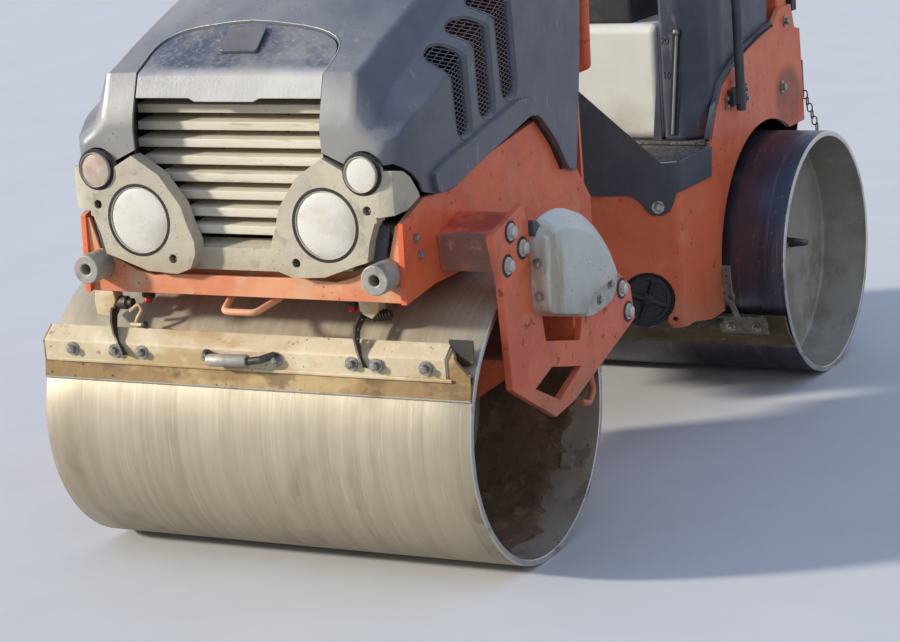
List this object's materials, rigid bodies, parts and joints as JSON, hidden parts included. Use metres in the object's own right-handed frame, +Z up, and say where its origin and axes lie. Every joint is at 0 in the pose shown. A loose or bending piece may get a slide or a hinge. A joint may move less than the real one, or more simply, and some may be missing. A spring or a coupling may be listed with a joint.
{
  "type": "articulated tandem road roller",
  "caption": "Ride-on road roller with two smooth steel drums, an articulated frame, a tilting hood, an open operator's platform and a roll bar.",
  "frame": {"origin": "on the ground under the steering joint, midway between the drums", "axes": "+X to the machine's left, -Y forward, +Z up"},
  "size_m": [1.31, 2.74, 2.3998],
  "materials": {
    "frame_paint": "satin",
    "grey_paint": "satin",
    "cast_grey": "satin",
    "hood_plastic": "weathered",
    "cover_plastic": "weathered",
    "black_plastic": "satin",
    "slat_plastic": "dusty",
    "mesh": "satin",
    "drum_steel": "worn",
    "rear_drum_steel": "worn",
    "scraper_steel": "worn",
    "dark_steel": "dirty",
    "bright_rod": "polished",
    "engine_iron": "dirty",
    "radiator_metal": "dusty",
    "lamp_glass": "gloss",
    "lamp_red": "gloss",
    "tank_plastic": "translucent",
    "tube_plastic": "clear",
    "seat_vinyl": "satin",
    "wheel_rim": "satin"
  },
  "bodies": {
    "front_frame": {"front_side_plates": "frame_paint", "front_chassis": "frame_paint", "front_crossbar": "frame_paint", "bumper_cylinders": "cast_grey", "tow_loop": "dark_steel", "front_hitch": "frame_paint", "steering_pin": "dark_steel", "steering_cylinder": "dark_steel", "engine_block": "engine_iron", "radiator": "radiator_metal", "headlamp_panels": "cast_grey", "headlamps": "lamp_glass", "grille_slats": "slat_plastic", "front_arm": "frame_paint", "front_motor_cover": "cover_plastic", "front_hub_motor": "dark_steel", "front_scraper": "scraper_steel"},
    "front_drum": {"front_drum_shell": "drum_steel", "front_drum_discs": "drum_steel"},
    "hood": {"hood_shell": "hood_plastic", "vent_screens": "mesh"},
    "steering_rod": {"steering_rod": "bright_rod"},
    "articulation_link": {"articulation_link": "dark_steel"},
    "rear_frame": {"rear_side_plates": "frame_paint", "rear_yoke": "frame_paint", "filter_caps": "black_plastic", "rear_deck": "frame_paint", "rear_panel": "frame_paint", "platform_floor": "grey_paint", "platform_skirts": "grey_paint", "console": "black_plastic", "steering_wheel": "wheel_rim", "grab_handles": "frame_paint", "water_tank": "tank_plastic", "sight_tube": "tube_plastic", "fender_shells": "hood_plastic", "rear_housing": "hood_plastic", "seat_base": "black_plastic", "seat_cushion": "seat_vinyl", "seat_back": "seat_vinyl", "handrails": "dark_steel", "rops_frame": "frame_paint", "rear_lamps": "lamp_red", "tow_hitch": "frame_paint", "rear_scraper": "scraper_steel", "rear_arm": "frame_paint", "rear_motor_cover": "cover_plastic", "rear_hub_motor": "dark_steel"},
    "rear_drum": {"rear_drum_shell": "rear_drum_steel", "rear_drum_discs": "rear_drum_steel"}
  },
  "joints": [
    {"name": "steering", "type": "hinge", "parent": "front_frame", "child": "articulation_link", "pos_m": [0, 0, 0.45], "axis": [0, 0, 1], "range_deg": [-30, 30]},
    {"name": "oscillation", "type": "hinge", "parent": "articulation_link", "child": "rear_frame", "pos_m": [0, 0, 0.45], "axis": [0, 1, 0], "range_deg": [-8, 8]},
    {"name": "steering_rod_slide", "type": "slide", "parent": "front_frame", "child": "steering_rod", "axis": [0, 1, 0], "range_m": [-0.0605, 0.0605]},
    {"name": "hood_hinge", "type": "hinge", "parent": "front_frame", "child": "hood", "pos_m": [0, -0.32, 1.425], "axis": [-1, 0, 0], "range_deg": [0, 50]},
    {"name": "front_drum_spin", "type": "hinge", "parent": "front_frame", "child": "front_drum", "pos_m": [0, -0.935, 0.36], "axis": [1, 0, 0], "continuous": true},
    {"name": "rear_drum_spin", "type": "hinge", "parent": "rear_frame", "child": "rear_drum", "pos_m": [0, 0.935, 0.36], "axis": [1, 0, 0], "continuous": true}
  ],
  "couplings": [
    {"joint": "steering_rod_slide", "follows": "steering", "m_per_rad": -0.1146}
  ]
}
